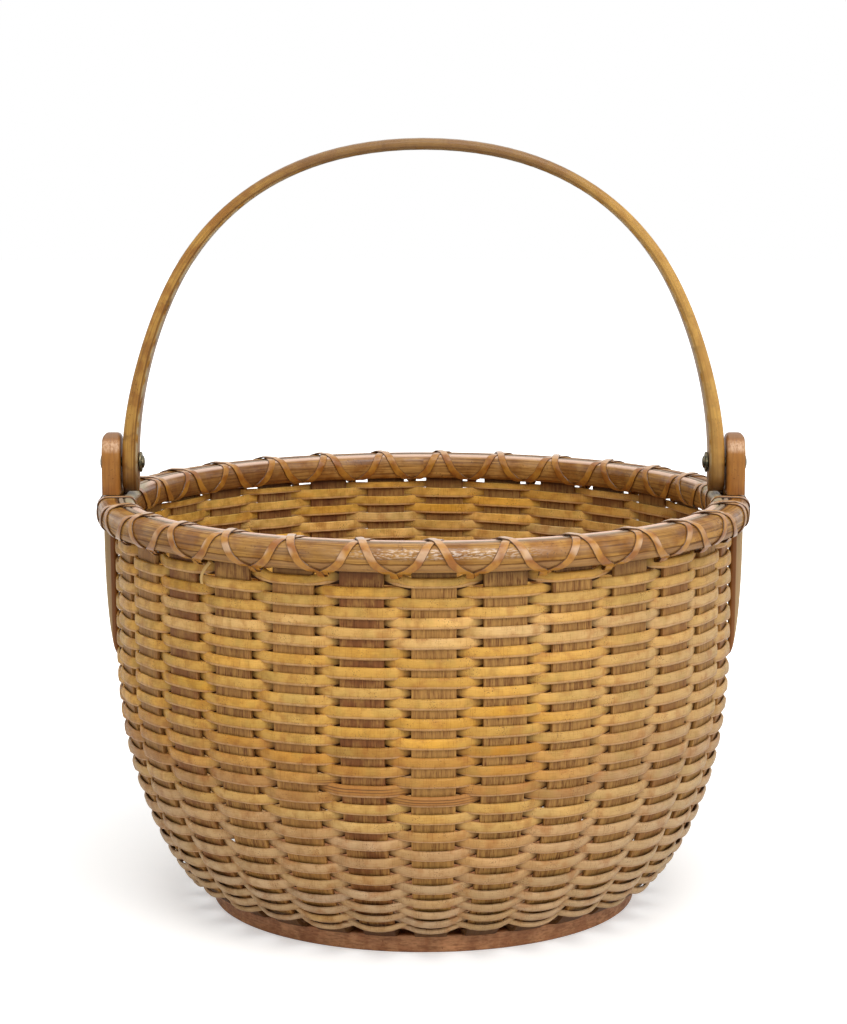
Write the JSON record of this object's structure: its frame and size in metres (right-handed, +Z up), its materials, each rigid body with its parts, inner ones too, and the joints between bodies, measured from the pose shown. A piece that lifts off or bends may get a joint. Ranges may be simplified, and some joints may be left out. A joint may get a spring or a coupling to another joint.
{
  "type": "nantucket basket",
  "caption": "Round basket woven from cane over wooden staves on a turned wooden base, with lashed wooden hoops round the rim and a bentwood handle that swings between two ears.",
  "frame": {"origin": "middle of the turned base's underside, on the surface that the basket stands on", "axes": "+Z up through the middle of the basket, X through the two ears along the handle's swing axis, -Y towards the front as pictured"},
  "size_m": [0.2582, 0.2562, 0.2986],
  "materials": {
    "base_wood": "dark reddish brown turned hardwood, worn satin varnish",
    "stave_wood": "split wood, brown grey with fine dark grain, dull",
    "weave_cane": "rattan cane, golden with browner courses, satin",
    "hoop_wood": "bent wood, mid brown with grain, worn satin",
    "lashing_cane": "thin flat cane, orange brown, semi-gloss",
    "rim_cane": "flat cane, pale tan, satin",
    "ear_wood": "carved hardwood, reddish brown, satin with rubbed edges",
    "handle_wood": "bent hardwood, golden brown with grain, satin, darker at the feet",
    "rivet_metal": "tarnished brass or copper, dark and dull"
  },
  "bodies": {
    "basket": {"base_plate": "base_wood", "stave_01": "stave_wood", "stave_02": "stave_wood", "stave_03": "stave_wood", "stave_04": "stave_wood", "stave_05": "stave_wood", "stave_06": "stave_wood", "stave_07": "stave_wood", "stave_08": "stave_wood", "stave_09": "stave_wood", "stave_10": "stave_wood", "stave_11": "stave_wood", "stave_12": "stave_wood", "stave_13": "stave_wood", "stave_14": "stave_wood", "stave_15": "stave_wood", "stave_16": "stave_wood", "stave_17": "stave_wood", "stave_18": "stave_wood", "stave_19": "stave_wood", "stave_20": "stave_wood", "stave_21": "stave_wood", "stave_22": "stave_wood", "stave_23": "stave_wood", "stave_24": "stave_wood", "stave_25": "stave_wood", "stave_26": "stave_wood", "stave_27": "stave_wood", "stave_28": "stave_wood", "stave_29": "stave_wood", "woven_wall": "weave_cane", "outer_hoop": "hoop_wood", "inner_hoop": "hoop_wood", "rim_cane_front": "rim_cane", "rim_cane_back": "rim_cane", "lashing_front_forward": "lashing_cane", "lashing_front_return": "lashing_cane", "lashing_back_forward": "lashing_cane", "lashing_back_return": "lashing_cane", "ear_left": "ear_wood", "ear_right": "ear_wood", "rivet_left": "rivet_metal", "rivet_right": "rivet_metal", "burr_left": "rivet_metal", "burr_right": "rivet_metal"},
    "handle": {"handle_bow": "handle_wood"}
  },
  "joints": [
    {"name": "handle_swing", "type": "hinge", "parent": "basket", "child": "handle", "pos_m": [0, 0, 0.1728], "axis": [1, 0, 0], "range_deg": [-91.5, 91.5]}
  ]
}
